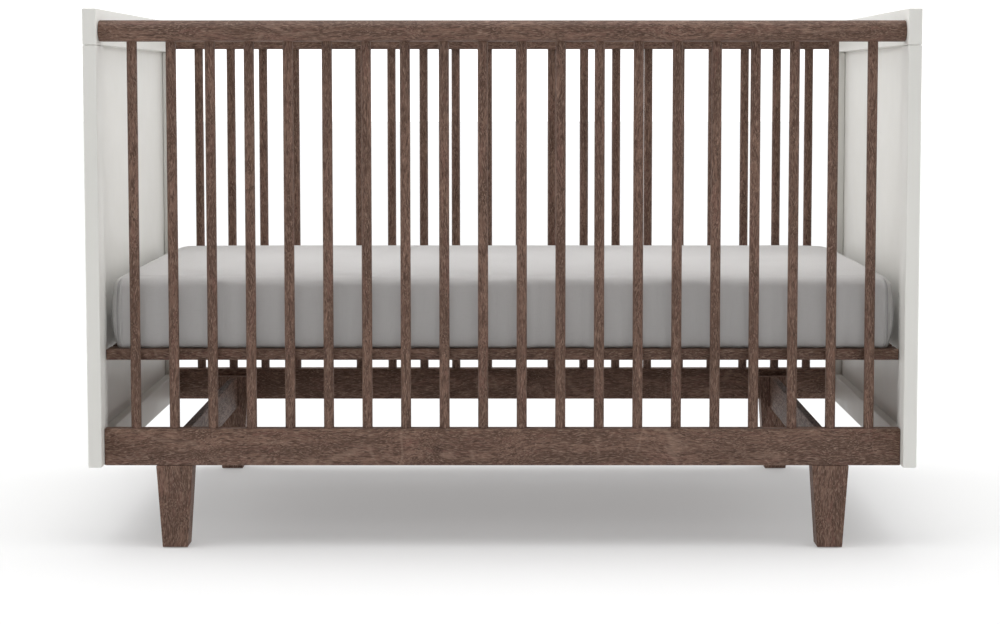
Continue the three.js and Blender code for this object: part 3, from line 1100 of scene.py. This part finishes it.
def build_floor():
    shape = bmesh.new()
    bmesh.ops.create_grid(shape, x_segments=8, y_segments=8, size=40.0)
    mesh = bpy.data.meshes.new("floor")
    shape.to_mesh(mesh)
    shape.free()
    mesh.materials.append(make_material("pale_floor", pale_floor))
    floor = bpy.data.objects.new("floor", mesh)
    bpy.context.scene.collection.objects.link(floor)


def area_light(name, place, aim, power):
    data = bpy.data.lights.new(name, "AREA")
    data.shape = "RECTANGLE"
    data.size, data.size_y = PANEL_SIZE
    data.energy = power
    lamp = bpy.data.objects.new(name, data)
    lamp.location = place
    lamp.rotation_euler = (Vector(aim) - Vector(place)).to_track_quat("-Z", "Y").to_euler()
    bpy.context.scene.collection.objects.link(lamp)


def build_light():
    """A white backdrop, dim behind the camera, with soft light from overhead and from both sides."""
    world = bpy.data.worlds.new("studio")
    world.use_nodes = True
    n = Nodes(world.node_tree)
    x, y, z = n.parts(n.coordinates("Generated"))
    depth = n.math("MULTIPLY", n.fit(y, -0.75, -0.15, FRONT_SKY, 1.0), n.fit(y, 0.0, 0.6, 1.0, BACK_SKY))
    backdrop = n.math("MULTIPLY", depth, n.fit(z, 0.1, 0.35, 1.0, DIM_SKY))
    sides = n.math("ADD", n.fit(x, 0.6, 0.9, 0.0, RIGHT_BOX), n.fit(x, -0.9, -0.6, LEFT_BOX, 0.0))
    limits = n.math("MULTIPLY", n.fit(z, 0.12, 0.38), n.fit(y, -0.65, -0.2))
    boxes = n.math("MULTIPLY", sides, limits)
    ceiling = n.fit(z, 0.65, 0.95, 0.0, OVERHEAD)
    sky = n.math("ADD", n.math("ADD", backdrop, boxes), ceiling)
    background = world.node_tree.nodes["Background"]
    background.inputs["Color"].default_value = (1.0, 1.0, 1.0, 1.0)
    n.put(background.inputs["Strength"], sky)
    bpy.context.scene.world = world
    bpy.context.scene.view_settings.view_transform = "Standard"
    area_light("key", KEY_PLACE, KEY_AIM, KEY_POWER)
    area_light("fill", FILL_PLACE, FILL_AIM, FILL_POWER)


def build_camera():
    data = bpy.data.cameras.new("camera")
    data.sensor_width = SENSOR
    data.lens = LENS
    data.shift_x, data.shift_y = SHIFT
    data.dof.use_dof = False
    camera = bpy.data.objects.new("camera", data)
    camera.location = CAMERA_PLACE
    camera.rotation_euler = (math.radians(90 - CAMERA_TILT), 0, 0)
    bpy.context.scene.collection.objects.link(camera)
    bpy.context.scene.camera = camera


build_floor()
build_light()
build_camera()
